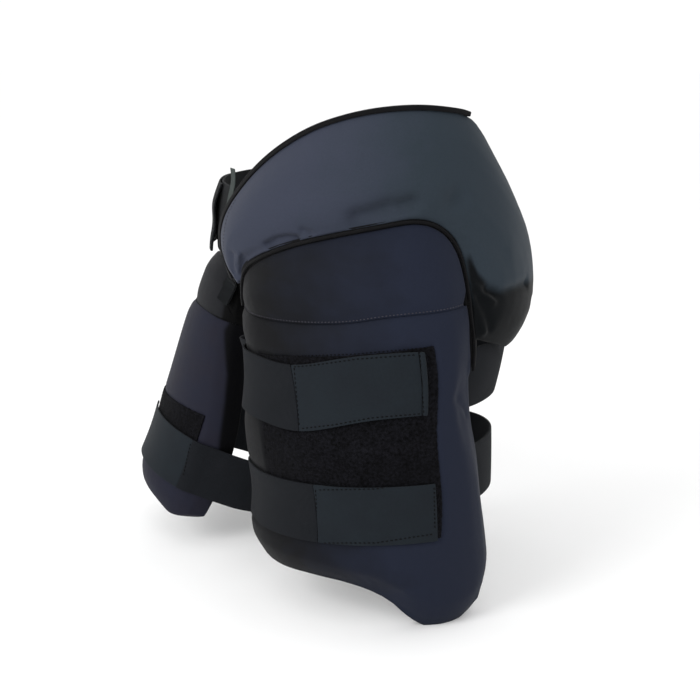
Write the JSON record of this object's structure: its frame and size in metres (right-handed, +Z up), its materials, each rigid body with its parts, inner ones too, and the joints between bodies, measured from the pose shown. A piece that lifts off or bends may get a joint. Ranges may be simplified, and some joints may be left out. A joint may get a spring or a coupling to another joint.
{
  "type": "cricket thigh guard",
  "caption": "Combined thigh guard as worn: padded left thigh and hip guard, inner guard for the right thigh, waist belt and elastic straps closing on loop patches.",
  "frame": {"origin": "middle of the waist ring, at the middle of the belt's height, where the wearer's waist holds the guard", "axes": "+Z up, along the wearer; the wearer looks along -Y; the wearer's left, where the large guard is, is +X"},
  "size_m": [0.4141, 0.3036, 0.4344],
  "materials": {
    "hip_cloth": "smooth slate lycra over foam",
    "thigh_cloth": "smooth charcoal navy cloth over foam",
    "inner_crown_cloth": "smooth charcoal cloth over foam",
    "inner_cloth": "smooth dark purple-navy cloth over foam",
    "loop_pile": "fuzzy loop pile",
    "elastic": "ribbed woven elastic",
    "tab_cloth": "stitched hook tab",
    "webbing": "ribbed black belt webbing",
    "pull_tape": "grey-green woven tape",
    "binding": "black corded edging"
  },
  "bodies": {
    "root": {"hip_pad": "hip_cloth", "hip_binding": "binding", "arch_piping": "binding", "thigh_pad_upper": "thigh_cloth", "thigh_pad_lower": "thigh_cloth", "thigh_loop_patch": "loop_pile", "upper_strap": "elastic", "upper_strap_tab": "tab_cloth", "upper_strap_pull": "tab_cloth", "lower_strap": "elastic", "lower_strap_tab": "tab_cloth", "waist_belt": "webbing", "belt_tab": "webbing", "belt_pull": "pull_tape", "link_strap": "webbing", "inner_pad_upper": "inner_crown_cloth", "inner_pad_lower": "inner_cloth", "inner_loop_patch": "loop_pile", "inner_strap": "elastic", "inner_strap_tab": "tab_cloth"}
  },
  "joints": []
}
